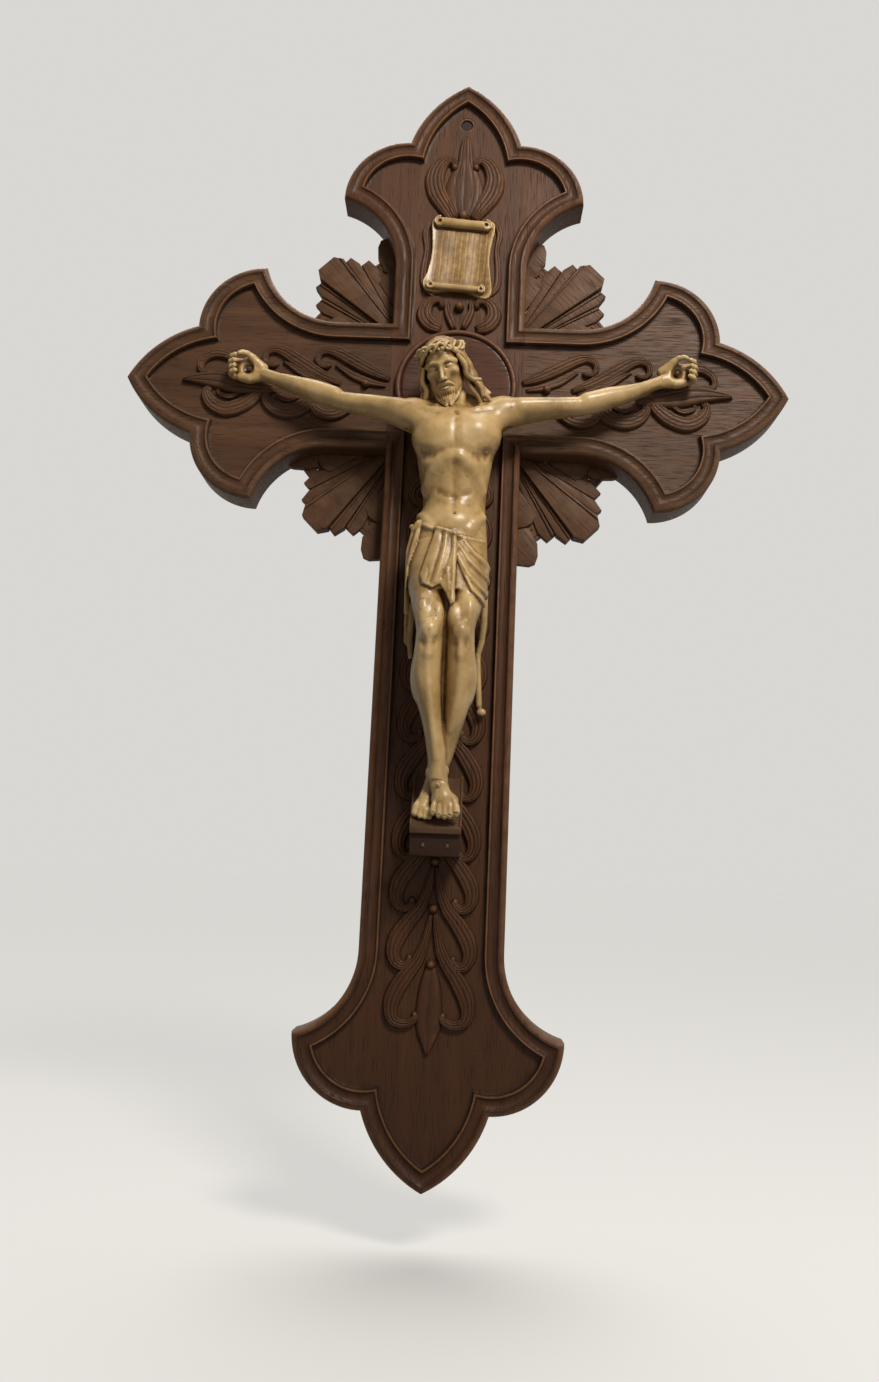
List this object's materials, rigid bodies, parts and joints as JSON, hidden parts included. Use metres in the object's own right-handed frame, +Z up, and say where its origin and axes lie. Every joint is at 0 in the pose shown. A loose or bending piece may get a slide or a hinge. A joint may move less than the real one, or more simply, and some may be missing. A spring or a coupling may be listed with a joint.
{
  "type": "wall crucifix",
  "caption": "Carved wooden wall crucifix with trefoil ends, moulded border, corner ray panels, leaf onlays, halo, bare title scroll and a painted figure on a foot block, hung by a through hole.",
  "frame": {"origin": "axis of the hanging hole, on the back plane of the cross", "axes": "+X to the viewer's right along the crossbar, +Y into the wall, +Z up along the upright; the front faces -Y"},
  "size_m": [0.362, 0.0661, 0.6],
  "materials": {
    "board_wood": "dark stained, satin, open pores",
    "carved_wood": "dark stained, satin, carved",
    "dowel_wood": "bare",
    "ivory_paint": "cast composition, ivory paint, aged varnish",
    "nail_iron": "dark, waxed",
    "screw_steel": "dull"
  },
  "bodies": {
    "root": {"upright": "board_wood", "crossbar": "board_wood", "lap_joint_screws": "screw_steel", "ray_panel_upper_left": "carved_wood", "ray_panel_upper_right": "carved_wood", "ray_panel_lower_left": "carved_wood", "ray_panel_lower_right": "carved_wood", "ray_panel_dowels": "dowel_wood", "halo_disc": "carved_wood", "title_scroll": "ivory_paint", "title_scroll_pins": "screw_steel", "top_leaf_onlay": "carved_wood", "neck_leaf_onlay": "carved_wood", "shaft_leaf_onlay": "carved_wood", "left_arm_leaf_onlay": "carved_wood", "right_arm_leaf_onlay": "carved_wood", "foot_block": "carved_wood", "foot_block_nails": "nail_iron", "corpus_body": "ivory_paint", "corpus_left_arm": "ivory_paint", "corpus_right_arm": "ivory_paint", "shoulder_dowels": "dowel_wood", "crown_of_thorns": "ivory_paint", "hand_nails": "nail_iron", "foot_nail": "nail_iron", "corpus_screw": "screw_steel"}
  },
  "joints": []
}
